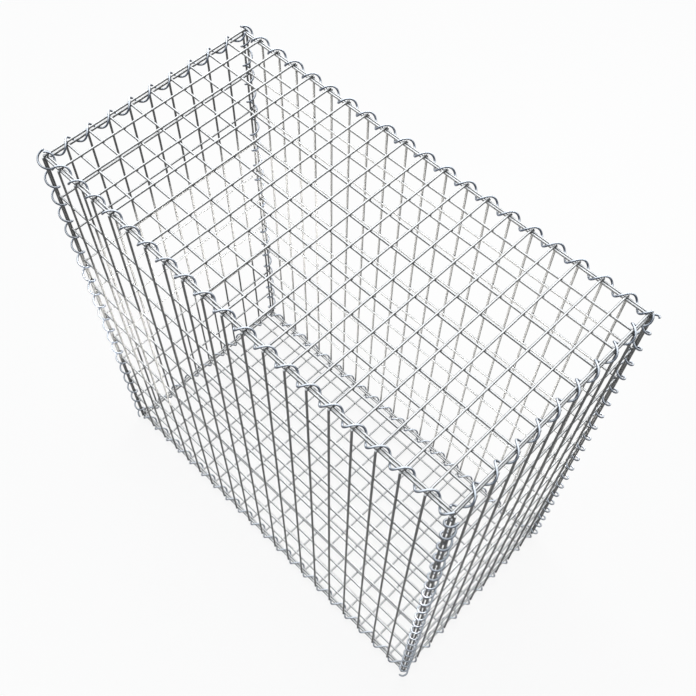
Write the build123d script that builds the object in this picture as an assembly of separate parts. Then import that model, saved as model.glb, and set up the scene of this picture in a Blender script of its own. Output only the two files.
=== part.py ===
"""Gabion basket: six welded mesh sheets laced into a box by twelve spiral binders.

Millimetres, +Z up, long side along X, origin under the middle of the box.
"""

import math
import os

from build123d import *

os.makedirs("parts", exist_ok=True)

# Driving dimensions of the box
length = 1000.0
width = 500.0
height = 1000.0

# Mesh: cells of 50 x 50 in the lid and base, 50 x 100 in the upright sheets
cell = 50.0
tall_cell = 100.0
wire_d = 4.5

# Spiral binders: one turn per cell
binder_d = 4.0
binder_r = 10.9
binder_pitch = cell
bends_per_turn = 7

# Clearance that a wire's end keeps from the wire it stops at
clear = 0.45

# A round wire is drawn as a hexagon of the same area, and a binder's as a square
wire_flat = wire_d * math.sqrt(math.pi / (2 * math.sqrt(3)))
wire_corner = wire_flat / math.cos(math.radians(30))
binder_side = 0.85 * binder_d

# Straight runs between the bends keep the mean radius of the round spiral
half_bend = math.pi / bends_per_turn
binder_bend_r = 2 * binder_r / (1 + math.cos(half_bend))

# The mitred corner of a bend reaches out past the wire's own corner
run_across = 2 * binder_bend_r * math.sin(half_bend)
run_along = binder_pitch / bends_per_turn
bend_cosine = (run_across**2 * math.cos(2 * half_bend) + run_along**2) / (run_across**2 + run_along**2)
mitre_reach = binder_side / math.sqrt(2) / math.sqrt((1 + bend_cosine) / 2)
binder_out_r = binder_bend_r + mitre_reach

# Lid and base: cross wires lie outside the long wires, and the outermost wires are set in
edge_cross_in = 3.4
edge_long_in = 6.0
cross_overhang = 2.0

# Front and back: upright wires stand just outside the box, level wires just inside them
front_out = 3.6
front_edge_in = 2.2
front_top_down = 5.2
front_level_down = 9.9

# Ends: the level wires pass under those of the front and back, level_gap clear of them
level_gap = 0.4
end_out = 2.7
end_edge_in = 1.8
end_top_down = front_top_down + wire_corner + level_gap
end_level_down = front_level_down + wire_corner + level_gap
level_overhang = front_out - wire_flat / 2 - clear

# Binder axes: in from the box, and down from the outer cross wires
top_long_in = 2.0
top_end_in = 2.8
base_long_in = 3.4
base_end_in = 3.2
long_axis_down = 3.2
end_axis_down = 5.4
corner_out_x = 2.2
corner_out_y = 2.6
corner_crest_down = 10.0

# Where the binders of the end edges begin and stop, in from the corners
end_binder_near = 3.6
top_binder_far = 10.0
base_binder_far = 18.0
corner_binder_in = 2.0

# Heights: the lid's cross wires stand edge_lap above a full number of cells over those of the base
edge_lap = 19.8
stack = height + edge_lap
base_z = binder_out_r - long_axis_down
lid_z = base_z + stack
wire_top_z = lid_z - wire_flat / 2 - clear
wire_base_z = base_z + wire_flat / 2 + clear


def wire(start, end, flat_towards):
    """One straight drawn wire, with a flat of its hexagon turned to the wires that it is welded to."""
    run = Vector(*end) - Vector(*start)
    section = Plane(origin=start, x_dir=flat_towards, z_dir=run.normalized())
    hexagon = RegularPolygon(wire_flat / 2, 6, major_radius=False, rotation=30)
    return extrude(section * hexagon, run.length)


def steps(first, last, pitch, count):
    """Places of parallel wires: the two edge wires, with the others between them on the pitch."""
    return [first] + [pitch * i for i in range(1, count)] + [last]


def flat_sheet(cross_z, long_z):
    """Lid or base: cross wires along Y at cross_z, long wires along X at long_z."""
    cells_long = round(length / cell)
    cells_wide = round(width / cell)
    wires = []
    for x in steps(edge_cross_in, length - edge_cross_in, cell, cells_long):
        start = (x - length / 2, -width / 2 - cross_overhang, cross_z)
        end = (x - length / 2, width / 2 + cross_overhang, cross_z)
        wires.append(wire(start, end, (0, 0, 1)))
    for y in steps(edge_long_in, width - edge_long_in, cell, cells_wide):
        start = (-length / 2, y - width / 2, long_z)
        end = (length / 2, y - width / 2, long_z)
        wires.append(wire(start, end, (0, 0, 1)))
    return wires


def level_heights(top_down, level_down):
    """Heights of the level wires of an upright sheet, from its top wire to its bottom wire."""
    rows = round(height / tall_cell)
    between = [lid_z - level_down - tall_cell * k for k in range(1, rows)]
    return [lid_z - top_down] + between + [base_z + top_down]


def long_sheet(side):
    """Front (side -1) or back (side 1): upright wires outside, level wires welded inside them."""
    upright_y = side * (width / 2 + front_out)
    level_y = side * (width / 2 + front_out - wire_flat)
    wires = []
    for x in steps(front_edge_in, length - front_edge_in, cell, round(length / cell)):
        start = (x - length / 2, upright_y, wire_base_z)
        end = (x - length / 2, upright_y, wire_top_z)
        wires.append(wire(start, end, (0, 1, 0)))
    for z in level_heights(front_top_down, front_level_down):
        wires.append(wire((-length / 2, level_y, z), (length / 2, level_y, z), (0, 1, 0)))
    return wires


def end_sheet(side):
    """Left (side -1) or right (side 1) end: the same mesh as the front, half as wide."""
    upright_x = side * (length / 2 + end_out)
    level_x = side * (length / 2 + end_out - wire_flat)
    reach = width / 2 + level_overhang
    wires = []
    for y in steps(end_edge_in, width - end_edge_in, cell, round(width / cell)):
        start = (upright_x, y - width / 2, wire_base_z)
        end = (upright_x, y - width / 2, wire_top_z)
        wires.append(wire(start, end, (1, 0, 0)))
    for z in level_heights(end_top_down, end_level_down):
        wires.append(wire((level_x, -reach, z), (level_x, reach, z), (1, 0, 0)))
    return wires


def binder(axis_start, along, crest, hand, first, last, crest_at=0.0):
    """A spiral of straight runs and bends, hand 1 or -1, whose turns face crest at crest_at."""
    origin = Vector(*axis_start)
    along = Vector(*along)
    crest = Vector(*crest).normalized()
    across = along.cross(crest)
    first_bend = math.ceil((first - crest_at) / run_along)
    last_bend = math.floor((last - crest_at) / run_along)
    bends = []
    for i in range(first_bend, last_bend + 1):
        turn = hand * 2 * math.pi * i / bends_per_turn
        out = crest * math.cos(turn) + across * math.sin(turn)
        bends.append(origin + along * (crest_at + run_along * i) + out * binder_bend_r)
    section = Plane(origin=bends[0], z_dir=(bends[1] - bends[0]).normalized())
    square = Rectangle(binder_side, binder_side)
    return sweep(section * square, path=Polyline(*bends), transition=Transition.RIGHT)


def save(name, solids):
    """Write one node of separate solids."""
    export_step(Compound(label=name, children=solids), os.path.join("parts", name + ".step"))


# Welded sheets
save("lid_mesh", flat_sheet(lid_z, lid_z - wire_flat))
save("base_mesh", flat_sheet(base_z, base_z + wire_flat))
save("front_mesh", long_sheet(-1))
save("back_mesh", long_sheet(1))
save("left_mesh", end_sheet(-1))
save("right_mesh", end_sheet(1))

# Binders along the long edges, crest over each cross wire
for name, side, z, inset, crest_z in (
    ("binder_top_front", -1, lid_z - long_axis_down, top_long_in, 1),
    ("binder_top_back", 1, lid_z - long_axis_down, top_long_in, 1),
    ("binder_base_front", -1, base_z + long_axis_down, base_long_in, -1),
    ("binder_base_back", 1, base_z + long_axis_down, base_long_in, -1),
):
    start = (-length / 2, side * (width / 2 - inset), z)
    save(name, [binder(start, (1, 0, 0), (0, 0, crest_z), -1, 0, length)])

# Binders along the end edges, which stop short at the corner where the long edge's spiral is in the way
for name, side, z, inset, crest_z, far in (
    ("binder_top_left", -1, lid_z - end_axis_down, top_end_in, 1, top_binder_far),
    ("binder_top_right", 1, lid_z - end_axis_down, top_end_in, 1, top_binder_far),
    ("binder_base_left", -1, base_z + end_axis_down, base_end_in, -1, base_binder_far),
    ("binder_base_right", 1, base_z + end_axis_down, base_end_in, -1, base_binder_far),
):
    start = (side * (length / 2 - inset), -width / 2, z)
    first = end_binder_near if side < 0 else far
    last = width - (far if side < 0 else end_binder_near)
    save(name, [binder(start, (0, 1, 0), (0, 0, crest_z), -crest_z, first, last)])

# Upright binders at the corners, crest outwards, wound by turns to the left and the right
for name, side_x, side_y in (
    ("binder_front_left", -1, -1),
    ("binder_front_right", 1, -1),
    ("binder_back_left", -1, 1),
    ("binder_back_right", 1, 1),
):
    x = side_x * (length / 2 + corner_out_x)
    y = side_y * (width / 2 + corner_out_y)
    hand = -side_x * side_y
    first = corner_binder_in
    last = stack - corner_binder_in
    spiral = binder((x, y, lid_z), (0, 0, -1), (side_x, side_y, 0), hand, first, last, corner_crest_down)
    save(name, [spiral])
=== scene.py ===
import math
import bpy
import numpy as np
from mathutils import Matrix, Vector


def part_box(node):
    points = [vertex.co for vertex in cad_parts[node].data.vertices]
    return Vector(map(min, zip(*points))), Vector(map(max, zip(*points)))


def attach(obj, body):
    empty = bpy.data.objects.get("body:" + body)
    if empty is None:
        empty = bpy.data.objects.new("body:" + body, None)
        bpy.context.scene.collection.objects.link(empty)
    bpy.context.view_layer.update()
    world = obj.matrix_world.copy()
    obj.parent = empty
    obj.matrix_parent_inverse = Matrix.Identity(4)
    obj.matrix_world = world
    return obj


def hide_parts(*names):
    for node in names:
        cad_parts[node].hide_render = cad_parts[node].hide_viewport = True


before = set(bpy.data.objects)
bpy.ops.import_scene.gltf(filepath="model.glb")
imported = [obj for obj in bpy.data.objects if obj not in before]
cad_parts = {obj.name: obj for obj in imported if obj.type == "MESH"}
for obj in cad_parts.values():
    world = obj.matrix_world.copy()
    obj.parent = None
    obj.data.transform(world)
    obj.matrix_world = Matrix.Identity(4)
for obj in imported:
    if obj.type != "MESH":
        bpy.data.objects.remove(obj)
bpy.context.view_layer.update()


# Base sheet
# Round steel wire, drawn cold, straightened, cut to length and welded in a grid of 5 cm cells by a row of
# electrodes. The cross wires lie underneath, on the ground side. Zinc from a hot bath covers wire and welds.

half_length = 0.500
half_width = 0.250
cell = 0.050
edge_cross_in = 0.0034
edge_long_in = 0.0060
cross_overhang = 0.0020
mesh_wire_d = 0.0045
facets = 14

# Two welded wires sink into each other a little: their middles lie as far apart as the flats of a hexagon of
# the wire's area
layer = mesh_wire_d * math.sqrt(math.pi / (2 * math.sqrt(3)))

# The shears pinch the last half millimetre of a wire to four fifths of its radius
cut_length = 0.0005
cut_radius = 0.80


def straight_wires(starts, ends, diameter):
    """Round wires from starts to ends, both (n, 3). A point at angle a and distance s along a wire is
    start + s * along + r(s) * (cos a * side + sin a * up), where r is half the diameter and narrows over the
    last half millimetre. Gives back points, blocks of faces and the (around, along) places in mm."""
    starts, ends = np.atleast_2d(starts).astype(float), np.atleast_2d(ends).astype(float)
    reach = np.linalg.norm(ends - starts, axis=1)
    along = (ends - starts) / reach[:, None]
    upright = np.abs(along[:, 2:]) > 0.9
    helper = np.where(upright, [[1.0, 0.0, 0.0]], [[0.0, 0.0, 1.0]])
    side = np.cross(helper, along)
    side /= np.linalg.norm(side, axis=1)[:, None]
    up = np.cross(along, side)
    near = np.array([0.0, cut_length, 3 * cut_length])
    s = np.concatenate([np.broadcast_to(near, (len(reach), 3)), reach[:, None] - near[::-1]], axis=1)
    r = diameter / 2 * np.array([cut_radius, 1, 1, 1, 1, cut_radius])
    a = np.linspace(0, 2 * np.pi, facets + 1)[:-1]
    ring = np.cos(a)[:, None] * side[:, None, None, :] + np.sin(a)[:, None] * up[:, None, None, :]
    points = starts[:, None, None] + s[..., None, None] * along[:, None, None] + r[:, None, None] * ring
    return tube_mesh(points, np.broadcast_to(s[..., None], points.shape[:3]), diameter)


def tube_mesh(points, s, diameter):
    """Points (wires, rings, facets, 3), at distances s along their wires, joined into closed tubes with flat
    ends. Facet j of a ring is joined to facet j + 1 and to the same two of the next ring. Each corner of a
    face also gets its place on the wire's skin in mm: around it, j / facets of the wire's girth, and along
    it, s, with each wire starting pattern_step further on than the last, so that no two look alike."""
    pattern_step = 173.0
    wires, rings, around = points.shape[:3]
    base = (np.arange(wires) * rings * around)[:, None, None]
    i, j = np.meshgrid(np.arange(rings - 1), np.arange(around), indexing="ij")
    k = (j + 1) % around
    quad = np.stack([i * around + j, i * around + k, (i + 1) * around + k, (i + 1) * around + j], axis=-1)
    sides = (base[..., None] + quad).reshape(-1, 4)
    first = base[:, 0] + np.arange(around)[::-1]
    last = base[:, 0] + (rings - 1) * around + np.arange(around)
    turn = np.stack([j, j + 1, j + 1, j], axis=-1) * (math.pi * diameter * 1000 / around)
    run = s[:, :, 0] * 1000 + pattern_step * np.arange(wires)[:, None]
    lengths = np.stack([run[:, :-1], run[:, :-1], run[:, 1:], run[:, 1:]], axis=-1)
    lengths = np.broadcast_to(lengths[:, :, None], (wires, rings - 1, around, 4))
    side_uv = np.stack([np.broadcast_to(turn, lengths.shape), lengths], axis=-1).reshape(-1, 2)
    end_uv = np.stack([np.tile(np.arange(around), 2 * wires), np.zeros(2 * wires * around)], axis=-1)
    return points.reshape(-1, 3), [sides, first, last], np.concatenate([side_uv, end_uv])


def weld_beads(centres, axis):
    """The zinc-covered metal squeezed out where two wires were welded, a flat lens between them.
    A point at polar angle p and turn t is centre + d * (wide cos p (cos t e1 + sin t e2) + high sin p e3),
    with d the wire's diameter and e3 the axis, from one wire to the other. A bead has three rings and two
    poles."""
    wide = 0.60
    high = 0.27
    around = 10
    p = np.radians([-90, -40, 0, 40, 90])[:, None, None]
    t = np.linspace(0, 2 * np.pi, around + 1)[:-1, None]
    e3 = np.array(axis, float)
    e1 = np.array([e3[1], e3[2], e3[0]])
    e2 = np.cross(e3, e1)
    lens = wide * np.cos(p) * (np.cos(t) * e1 + np.sin(t) * e2) + high * np.sin(p) * e3
    rings = lens[1:-1].reshape(-1, 3)
    shape = np.concatenate([rings, lens[0, :1], lens[-1, :1]]) * mesh_wire_d
    low_pole = len(rings)
    top_pole = low_pole + 1
    last_ring = low_pole - around
    i, j = np.meshgrid(np.arange(last_ring // around), np.arange(around), indexing="ij")
    k = (j + 1) % around
    quads = np.stack([i * around + j, i * around + k, (i + 1) * around + k, (i + 1) * around + j], axis=-1)
    j, k = j[0], k[0]
    low = np.stack([np.full(around, low_pole), k, j], axis=-1)
    top = np.stack([np.full(around, top_pole), last_ring + j, last_ring + k], axis=-1)
    step = (np.arange(len(centres)) * len(shape))[:, None, None]
    quads = (quads.reshape(-1, 4) + step).reshape(-1, 4)
    blocks = [quads, (low + step).reshape(-1, 3), (top + step).reshape(-1, 3)]
    points = (centres[:, None] + shape).reshape(-1, 3)
    x, y, z = points[np.concatenate([block.ravel() for block in blocks])].T
    return points, blocks, np.stack([x, y + z], axis=-1) * 1000


def put(name, data):
    """A new object of its data, linked into the scene."""
    thing = bpy.data.objects.new(name, data)
    bpy.context.scene.collection.objects.link(thing)
    return thing


def steel_piece(name, parts, material, node):
    """One mesh object of several (points, blocks of faces, places) parts, riding on the basket in place of a
    CAD node. All is shaded smooth but the cut ends, the only faces with a corner for every facet."""
    counts = np.cumsum([0] + [len(points) for points, blocks, places_mm in parts])
    blocks = [block + count for count, part in zip(counts, parts) for block in part[1]]
    mesh = bpy.data.meshes.new(name)
    mesh.from_pydata(np.concatenate([part[0] for part in parts]).tolist(), [],
                     [face for block in blocks for face in block.tolist()])
    skin = mesh.uv_layers.new(name="skin_mm")
    skin.data.foreach_set("uv", np.concatenate([part[2] for part in parts]).astype(np.float32).ravel())
    smooth = np.concatenate([np.full(len(block), block.shape[1] != facets) for block in blocks])
    mesh.polygons.foreach_set("use_smooth", smooth)
    mesh.materials.append(material)
    mesh.update()
    piece = put(name, mesh)
    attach(piece, "root")
    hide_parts(node)


def linear(hex_colour):
    """sRGB hex to linear RGBA, by the sRGB standard's curve."""
    s = np.array([int(hex_colour[i:i + 2], 16) for i in (1, 3, 5)]) / 255
    return (*np.where(s <= 0.04045, s / 12.92, ((s + 0.055) / 1.055) ** 2.4), 1.0)


def add(tree, kind, links=None, **settings):
    """Adds one node to a tree, with settings for its inputs or properties and links from other sockets."""
    node = tree.nodes.new(kind)
    for key, value in settings.items():
        if key.startswith("in_"):
            socket = key[3:]
            node.inputs[int(socket) if socket.isdigit() else socket.replace("_", " ")].default_value = value
        else:
            setattr(node, key, value)
    for socket, source in (links or {}).items():
        tree.links.new(source, node.inputs[socket])
    return node


def zinc_coat(name, painted_shade_under, flank, top, flank_up_to, roughness):
    """Hot-dip galvanised steel wire: a thin coat of zinc, cloudy over a few centimetres where it cooled at
    different speeds, streaked along the wire by the wiping die, with fine matt grains. The eye sees a pale
    grey metal that is neither polished nor painted. Its colour has light and shade painted in. It follows the
    height of the surface's normal, which is 1 where it looks up: painted shade, nearly black, where it looks
    down, the flank grey sideways up to the height flank_up_to, and a painted highlight on top, as a soft light
    from above would give. Metallic is 0, because metal at a low angle mirrors the white floor and would lose
    the dark line along each wire."""
    # Sizes in mm, around the wire and along it: clouds 20 by 33, streaks 0.7 by 17, grains 1.1. Real grains
    # are finer, and are drawn this coarse so that they show.
    cloud_around, cloud_along = 20, 100 / 3
    streak_around, streak_along = 5 / 7, 50 / 3
    grain = 10 / 9
    grain_relief = 0.0002
    material = bpy.data.materials.new(name)
    material.use_nodes = True
    tree = material.node_tree
    tree.nodes.clear()
    place = add(tree, "ShaderNodeUVMap", uv_map="skin_mm")
    clouds_at = add(tree, "ShaderNodeMapping", {"Vector": place.outputs["UV"]},
                    in_Scale=(1 / cloud_around, 1 / cloud_along, 1.0))
    clouds = add(tree, "ShaderNodeTexNoise", {"Vector": clouds_at.outputs[0]}, in_Scale=1.0, in_Detail=3.0)
    streaks_at = add(tree, "ShaderNodeMapping", {"Vector": place.outputs["UV"]},
                     in_Scale=(1 / streak_around, 1 / streak_along, 1.0))
    streaks = add(tree, "ShaderNodeTexNoise", {"Vector": streaks_at.outputs[0]}, in_Scale=1.0, in_Detail=2.0)
    grains = add(tree, "ShaderNodeTexVoronoi", {"Vector": place.outputs["UV"]}, in_Scale=1 / grain)

    # The two noises add up to 1 on average, so a wire's lowest line has the lift patchiness - 1
    patchiness = 0.15
    patches = add(tree, "ShaderNodeMath", {0: clouds.outputs[0], 1: streaks.outputs[0]}, operation="ADD")
    # The normal's height, shifted a little by the zinc's patches, places the ramp's painted shade and
    # highlight
    coordinates = add(tree, "ShaderNodeTexCoord")
    facing = add(tree, "ShaderNodeSeparateXYZ", {"Vector": coordinates.outputs["Normal"]})
    lift = add(tree, "ShaderNodeMath", {0: patches.outputs[0], 2: facing.outputs["Z"]},
               operation="MULTIPLY_ADD", in_1=patchiness)
    painted_light_with_patches = add(tree, "ShaderNodeMapRange", {"Value": lift.outputs[0]},
               in_From_Min=patchiness - 1, in_From_Max=patchiness + 1)

    # On the ramp 0 looks down, 0.5 sideways and 1 up: painted shade, flank grey, painted highlight
    painted_shade_up_to = 0.34
    flank_from = 0.46
    flank_to = 0.50 + flank_up_to / 2
    blend = 0.15
    painted_highlight_from = min(flank_to + blend, 1.0)
    colour = add(tree, "ShaderNodeValToRGB", {"Fac": painted_light_with_patches.outputs[0]})
    stops = colour.color_ramp
    stops.interpolation = "EASE"
    stops.elements.remove(stops.elements[1])
    stops.elements[0].position = painted_shade_up_to
    stops.elements[0].color = linear(painted_shade_under)
    for position, shade in ((flank_from, flank), (flank_to, flank), (painted_highlight_from, top)):
        stops.elements.new(position).color = linear(shade)

    # The noises' sum runs from about 0.7 to 1.3, and its pale patches are the smoother ones
    duller = 0.08
    smoother = 0.06
    rough = add(tree, "ShaderNodeMapRange", {"Value": patches.outputs[0]}, in_From_Min=0.7, in_From_Max=1.3,
                in_To_Min=roughness + duller, in_To_Max=roughness - smoother)
    height = add(tree, "ShaderNodeMath", {0: grains.outputs["Distance"], 1: streaks.outputs[0]},
                 operation="ADD")
    bump = add(tree, "ShaderNodeBump", {"Height": height.outputs[0]},
               in_Strength=0.12, in_Distance=grain_relief)
    shader = add(tree, "ShaderNodeBsdfPrincipled", {"Base Color": colour.outputs[0],
                 "Roughness": rough.outputs[0], "Normal": bump.outputs[0]}, in_Metallic=0.0)
    add(tree, "ShaderNodeOutputMaterial", {"Surface": shader.outputs[0]})
    return material


# Painted shade underneath, the zinc's own flank grey, and a painted highlight on top
mesh_zinc = zinc_coat("galvanised mesh wire", painted_shade_under="#2E2F30", flank="#6E6E6D", top="#DCDEE0",
                      flank_up_to=0.74, roughness=0.58)


def places(low, high, inset):
    """Middles of parallel wires between low and high: one inset from each edge, the others on the cells."""
    inner = np.arange(low + cell, high - cell / 2, cell)
    return np.concatenate([[low + inset], inner, [high - inset]])


def flat_sheet(node, cross_z, long_z):
    """Cross wires from front to back at height cross_z, long wires from end to end at long_z, and a bead
    halfway between the two heights wherever they cross."""
    low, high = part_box(node)
    x = places(low.x, high.x, edge_cross_in)
    y = places(low.y + cross_overhang, high.y - cross_overhang, edge_long_in)
    cross_z_row, long_z_row = np.full_like(x, cross_z), np.full_like(y, long_z)
    cross = straight_wires(np.stack([x, np.full_like(x, low.y), cross_z_row], -1),
                           np.stack([x, np.full_like(x, high.y), cross_z_row], -1), mesh_wire_d)
    long = straight_wires(np.stack([np.full_like(y, low.x), y, long_z_row], -1),
                          np.stack([np.full_like(y, high.x), y, long_z_row], -1), mesh_wire_d)
    xx, yy = np.meshgrid(x, y)
    welds = np.stack([xx, yy, np.full_like(xx, (cross_z + long_z) / 2)], -1).reshape(-1, 3)
    beads = weld_beads(welds, (0, 0, 1))
    steel_piece(node + "_wires", [cross, long, beads], mesh_zinc, node)


base_low, base_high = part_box("base_mesh")
base_cross_z = base_low.z + layer / 2
flat_sheet("base_mesh", base_cross_z, base_high.z - layer / 2)


# Front, back and end sheets
# The same wire welded in cells of 5 x 10 cm, upright wires outside and level wires inside them. Each sheet
# stands on the base and is held to it, and to its neighbours, by the binders only.

front_edge_in = 0.0022
end_edge_in = 0.0018


def level_heights(node):
    """Heights of a sheet's level wires, read from its CAD solids. Without the two ends of the uprights, the
    heights of the solids' corners fall into one group for each level wire, more than 3 cm from the next
    group, and the wire's middle is halfway between the lowest and the highest of its group."""
    between_groups = 0.03
    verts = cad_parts[node].data.vertices
    co = np.empty(len(verts) * 3)
    verts.foreach_get("co", co)
    z = np.unique(np.round(co.reshape(-1, 3)[:, 2], 5))[1:-1]
    groups = np.split(z, np.nonzero(np.diff(z) > between_groups)[0] + 1)
    return np.array([(group[0] + group[-1]) / 2 for group in groups])


def upright_sheet(node, across, edge_in):
    """Upright wires on the outer side of a node's box and level wires a layer inside them, with their welds.
    across is 0 for a sheet whose wires are spread along X, and 1 along Y."""
    low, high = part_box(node)
    depth = 1 - across
    outer_low = abs(low[depth]) > abs(high[depth])
    inward = 1 if outer_low else -1
    outer = (low if outer_low else high)[depth] + inward * layer / 2
    inner = outer + inward * layer
    half = (half_length, half_width)[across]
    spread = places(-half, half, edge_in)
    heights = level_heights(node)

    # The level wires of the end sheets run on past the edge uprights, as far as their box
    start, end = (-half, half) if across == 0 else (low[across], high[across])

    def spot(along_value, depth_value, z):
        p = np.zeros(np.broadcast(along_value, z).shape + (3,))
        p[..., across] = along_value
        p[..., depth] = depth_value
        p[..., 2] = z
        return p

    uprights = straight_wires(spot(spread, outer, low.z), spot(spread, outer, high.z), mesh_wire_d)
    levels = straight_wires(spot(start, inner, heights), spot(end, inner, heights), mesh_wire_d)
    a, z = np.meshgrid(spread, heights)
    beads = weld_beads(spot(a, (outer + inner) / 2, z).reshape(-1, 3), np.eye(3)[depth])
    steel_piece(node + "_wires", [uprights, levels, beads], mesh_zinc, node)


for node, across, edge_in in (("front_mesh", 0, front_edge_in), ("back_mesh", 0, front_edge_in),
                              ("left_mesh", 1, end_edge_in), ("right_mesh", 1, end_edge_in)):
    upright_sheet(node, across, edge_in)


# Lid
# A flat sheet like the base, turned over so that its cross wires are on top. It closes the basket once the
# stone is in, and its edge wires are bound down all round.

lid_low, lid_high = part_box("lid_mesh")
lid_cross_z = lid_high.z - layer / 2
flat_sheet("lid_mesh", lid_cross_z, lid_low.z + layer / 2)


# Spiral binders
# Thinner wire coiled on a mandrel to one turn per cell, and screwed along each edge of the basket so that it
# winds round the edge wires of both sheets. Eight are coiled to the left and four to the right.

binder_d = 0.0040
binder_r = 0.0103
pitch = cell
rings_per_turn = 40


def coiled_wire(start, along, crest, hand, first, last, crest_at=0.0):
    """A round wire on a spiral, hand 1 to the right and -1 to the left. Its middle at distance s along the
    axis is start + s * along + R (cos q * crest + sin q * (along x crest)), where R is binder_r and
    q = hand * 2 pi (s - crest_at) / pitch, and each ring lies across the tangent there. The shears nip the
    last fifth of a millimetre."""
    nip = 0.0002
    along, crest = np.array(along, float), np.array(crest, float)
    crest /= np.linalg.norm(crest)
    across = np.cross(along, crest)
    inner = np.linspace(first, last, int((last - first) / pitch * rings_per_turn))
    s = np.concatenate([[first], [first + nip], inner[1:-1], [last - nip], [last]])
    q = hand * 2 * np.pi * (s - crest_at) / pitch
    out = np.cos(q)[:, None] * crest + np.sin(q)[:, None] * across
    round_it = np.cos(q)[:, None] * across - np.sin(q)[:, None] * crest
    middle = np.array(start, float) + s[:, None] * along + binder_r * out
    tangent = along + (hand * 2 * np.pi * binder_r / pitch) * round_it
    tangent /= np.linalg.norm(tangent, axis=1)[:, None]
    third = np.cross(tangent, out)
    r = np.full(len(s), binder_d / 2)
    r[[0, -1]] *= cut_radius
    a = np.linspace(0, 2 * np.pi, facets + 1)[:-1]
    ring = np.cos(a)[:, None] * out[:, None] + np.sin(a)[:, None] * third[:, None]
    points = (middle[:, None] + r[:, None, None] * ring)[None]
    reach = s * math.hypot(1, 2 * np.pi * binder_r / pitch)
    return tube_mesh(points, np.broadcast_to(reach[None, :, None], points.shape[:3]), binder_d)


# For the binders too: painted shade underneath, their flank grey, and a painted highlight on top
binder_zinc = zinc_coat("galvanised binder wire", painted_shade_under="#171A20", flank="#535B69", top="#DCE3EC",
                        flank_up_to=0.52, roughness=0.42)


# Axes: in from the box's edges, and down or up from the middles of the cross wires
long_axis_down = 0.0032
end_axis_down = 0.0054
top_long_in = 0.0020
base_long_in = 0.0034
top_end_in = 0.0028
base_end_in = 0.0032

for node, y, z, up in (
        ("binder_top_front", -half_width + top_long_in, lid_cross_z - long_axis_down, 1),
        ("binder_top_back", half_width - top_long_in, lid_cross_z - long_axis_down, 1),
        ("binder_base_front", -half_width + base_long_in, base_cross_z + long_axis_down, -1),
        ("binder_base_back", half_width - base_long_in, base_cross_z + long_axis_down, -1)):
    coil = coiled_wire((-half_length, y, z), (1, 0, 0), (0, 0, up), -1, 0.0, 2 * half_length)
    steel_piece(node + "_wire", [coil], binder_zinc, node)

# Those of the end edges stop short of the corners, and further short where a long edge's spiral is in the way
near_stop = 0.0036
top_far_stop = 0.0071
base_far_stop = 0.0180
width = 2 * half_width

for node, x, z, up, first, last in (
        ("binder_top_left", -half_length + top_end_in, lid_cross_z - end_axis_down, 1,
         near_stop, width - top_far_stop),
        ("binder_top_right", half_length - top_end_in, lid_cross_z - end_axis_down, 1,
         top_far_stop, width - near_stop),
        ("binder_base_left", -half_length + base_end_in, base_cross_z + end_axis_down, -1,
         near_stop, width - base_far_stop),
        ("binder_base_right", half_length - base_end_in, base_cross_z + end_axis_down, -1,
         base_far_stop, width - near_stop)):
    coil = coiled_wire((x, -half_width, z), (0, 1, 0), (0, 0, up), -up, first, last)
    steel_piece(node + "_wire", [coil], binder_zinc, node)

# Upright ones at the corners, measured down from the lid's cross wires. The front left one starts higher,
# where its end nearly closes a loop over the corner.
corner_out_x = 0.0022
corner_out_y = 0.0026
upright_crest_at = 0.0100
upright_first = 0.0029
front_left_first = -0.0050
upright_last = 1.0179

for node, side_x, side_y, first in (("binder_front_left", -1, -1, front_left_first),
                                    ("binder_front_right", 1, -1, upright_first),
                                    ("binder_back_left", -1, 1, upright_first),
                                    ("binder_back_right", 1, 1, upright_first)):
    start = (side_x * (half_length + corner_out_x), side_y * (half_width + corner_out_y), lid_cross_z)
    outwards = (side_x, side_y, 0)
    coil = coiled_wire(start, (0, 0, -1), outwards, -side_x * side_y, first, upright_last, upright_crest_at)
    steel_piece(node + "_wire", [coil], binder_zinc, node)


# Floor
# A plain white studio floor. Seen straight or in the zinc it is white, and it keeps the basket's faint
# shadow. The light that it throws back at the basket is a grey's, so that the wires' undersides stay dark.

floor_reach = 30.0
floor_corners = [(-floor_reach, -floor_reach, 0), (floor_reach, -floor_reach, 0),
                 (floor_reach, floor_reach, 0), (-floor_reach, floor_reach, 0)]
floor_mesh = bpy.data.meshes.new("floor")
floor_mesh.from_pydata(floor_corners, [], [(0, 1, 2, 3)])
floor = put("floor", floor_mesh)

seen_white = "#FFFFFF"
seen_strength = 0.96
paint_white = "#F3F3F3"
thrown_grey = "#C4C3C2"
glow_share = 0.93


def seen_rays(tree):
    """1 for a ray that shows a surface straight, in a mirror or through glass, and 0 for one that only
    carries its light to dull surfaces: the highest of the camera, glossy and transmission rays' values."""
    path = add(tree, "ShaderNodeLightPath")
    seen = add(tree, "ShaderNodeMath", {0: path.outputs["Is Camera Ray"], 1: path.outputs["Is Glossy Ray"]},
               operation="MAXIMUM")
    seen = add(tree, "ShaderNodeMath", {0: seen.outputs[0], 1: path.outputs["Is Transmission Ray"]},
               operation="MAXIMUM")
    return seen.outputs[0]


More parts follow.
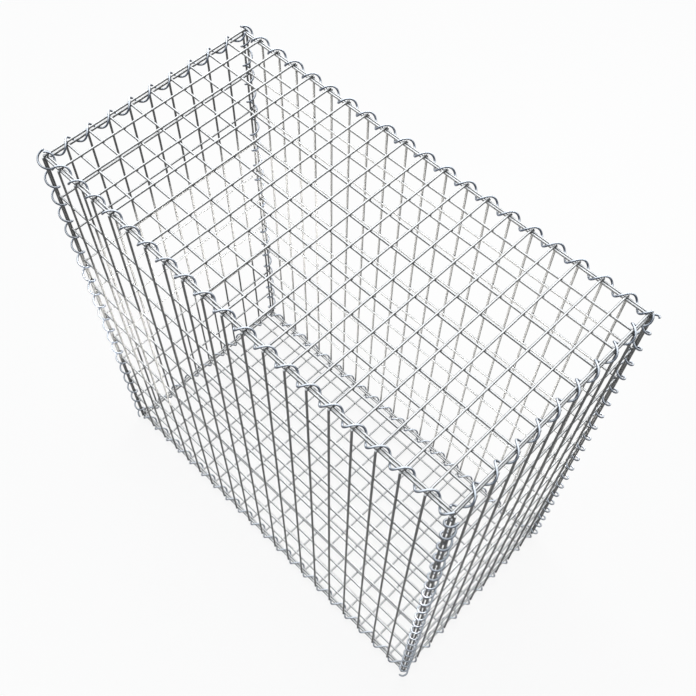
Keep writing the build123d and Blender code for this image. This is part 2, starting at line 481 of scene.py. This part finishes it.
paint = bpy.data.materials.new("studio floor")
paint.use_nodes = True
tree = paint.node_tree
tree.nodes.clear()
lit = add(tree, "ShaderNodeBsdfDiffuse", in_Color=linear(paint_white))
glow = add(tree, "ShaderNodeEmission", in_Color=linear(seen_white), in_Strength=seen_strength)
white = add(tree, "ShaderNodeMixShader", {1: lit.outputs[0], 2: glow.outputs[0]}, in_0=glow_share)
grey = add(tree, "ShaderNodeBsdfDiffuse", in_Color=linear(thrown_grey))
both = add(tree, "ShaderNodeMixShader", {0: seen_rays(tree), 1: grey.outputs[0], 2: white.outputs[0]})
add(tree, "ShaderNodeOutputMaterial", {"Surface": both.outputs[0]})
floor_mesh.materials.append(paint)


# Sky and lamp
# A soft sky, brightest overhead and bluer on the front's side, with one broad lamp behind and above the
# basket. Seen straight or in the zinc the sky is the floor's plain white, and its own colours only light.

# The sky's strength is horizon + overhead * z ** narrowing, where z is 1 straight up, and 0 at the horizon and
# everywhere below it
horizon = 0.05
overhead = 2.8
narrowing = 6.0

# Its colour on either side, and where along Y the one passes into the other
back_sky = (1.0, 0.985, 0.97, 1)
front_sky = (0.78, 0.90, 1.0, 1)
front_sky_from = -0.5
back_sky_from = 0.1

world = bpy.data.worlds.new("studio")
world.use_nodes = True
bpy.context.scene.world = world
tree = world.node_tree
tree.nodes.clear()
coordinates = add(tree, "ShaderNodeTexCoord")
axes = add(tree, "ShaderNodeSeparateXYZ", {"Vector": coordinates.outputs["Generated"]})
above = add(tree, "ShaderNodeMapRange", {"Value": axes.outputs["Z"]}, in_From_Min=0.0, in_From_Max=1.0,
            in_To_Min=0.0, in_To_Max=1.0)
steep = add(tree, "ShaderNodeMath", {0: above.outputs[0]}, operation="POWER", in_1=narrowing)
strength = add(tree, "ShaderNodeMath", {0: steep.outputs[0]}, operation="MULTIPLY_ADD",
               in_1=overhead, in_2=horizon)
front_share = add(tree, "ShaderNodeMapRange", {"Value": axes.outputs["Y"]},
                  in_From_Min=front_sky_from, in_From_Max=back_sky_from, in_To_Min=1.0, in_To_Max=0.0)
hue = add(tree, "ShaderNodeMix", {0: front_share.outputs[0]}, data_type="RGBA",
          in_6=back_sky, in_7=front_sky)
sky = add(tree, "ShaderNodeBackground", {"Color": hue.outputs[2], "Strength": strength.outputs[0]})
wall = add(tree, "ShaderNodeBackground", in_Color=linear(seen_white), in_Strength=seen_strength)
both = add(tree, "ShaderNodeMixShader", {0: seen_rays(tree), 1: sky.outputs[0], 2: wall.outputs[0]})
add(tree, "ShaderNodeOutputWorld", {"Surface": both.outputs[0]})

lamp_at = (-1.05, 1.15, 3.4)
basket_middle = (0, 0, 0.5)


def flat_light(name, wide, high, power):
    """A rectangular light, wide by high metres, of power watts."""
    data = bpy.data.lights.new(name, "AREA")
    data.shape = "RECTANGLE"
    data.size = wide
    data.size_y = high
    data.energy = power
    return put(name, data)


lamp = flat_light("overhead", wide=2.2, high=1.6, power=95)
lamp.location = lamp_at
lamp.rotation_euler = (Vector(basket_middle) - lamp.location).to_track_quat("-Z", "Y").to_euler()


# Light inside the basket
# Daylight that stands between the sheets, drawn as four upright panels of light. Each stands about 20 cm
# inside one of the side sheets and shines out at it, and shows neither to the camera nor in the zinc.

panel_high = 0.98
panel_middle_z = 0.53
panel_spread = math.radians(36)
panel_colour = (1.0, 0.98, 0.95)

for name, facing, from_middle, wide, power in (("to_front", (0, -1, 0), 0.05, 0.92, 6.5),
                                               ("to_back", (0, 1, 0), 0.05, 0.92, 9.5),
                                               ("to_left", (-1, 0, 0), 0.28, 0.40, 6.0),
                                               ("to_right", (1, 0, 0), 0.28, 0.40, 4.0)):
    panel = flat_light(name, wide, panel_high, power)
    panel.data.spread = panel_spread
    panel.data.color = panel_colour
    panel.location = Vector(facing) * from_middle + Vector((0, 0, panel_middle_z))
    panel.rotation_euler = Vector(facing).to_track_quat("-Z", "Z").to_euler()
    panel.visible_camera = False
    panel.visible_glossy = False


# Camera
# Set from the photo: it looks down on the lid's near right corner from just outside it, turned to one side.
# Lens and sensor are in millimetres, the shifts are shares of the picture, and the angles are in degrees.

camera_at = (0.70836, -0.70897, 2.22834)
heading = 45.143
looking_down = 59.472
roll = -0.125

camera_data = bpy.data.cameras.new("camera")
camera_data.lens = 45.64
camera_data.sensor_width = 36
camera_data.shift_x = 0.0274
camera_data.shift_y = 0.0392
camera_data.clip_end = 50
camera = put("camera", camera_data)
turned = Matrix.Rotation(math.radians(heading), 4, "Z")
tipped = Matrix.Rotation(math.radians(90 - looking_down), 4, "X")
rolled = Matrix.Rotation(math.radians(roll), 4, "Z")
camera.matrix_world = Matrix.Translation(camera_at) @ turned @ tipped @ rolled
bpy.context.scene.camera = camera
bpy.context.scene.view_settings.view_transform = "Standard"
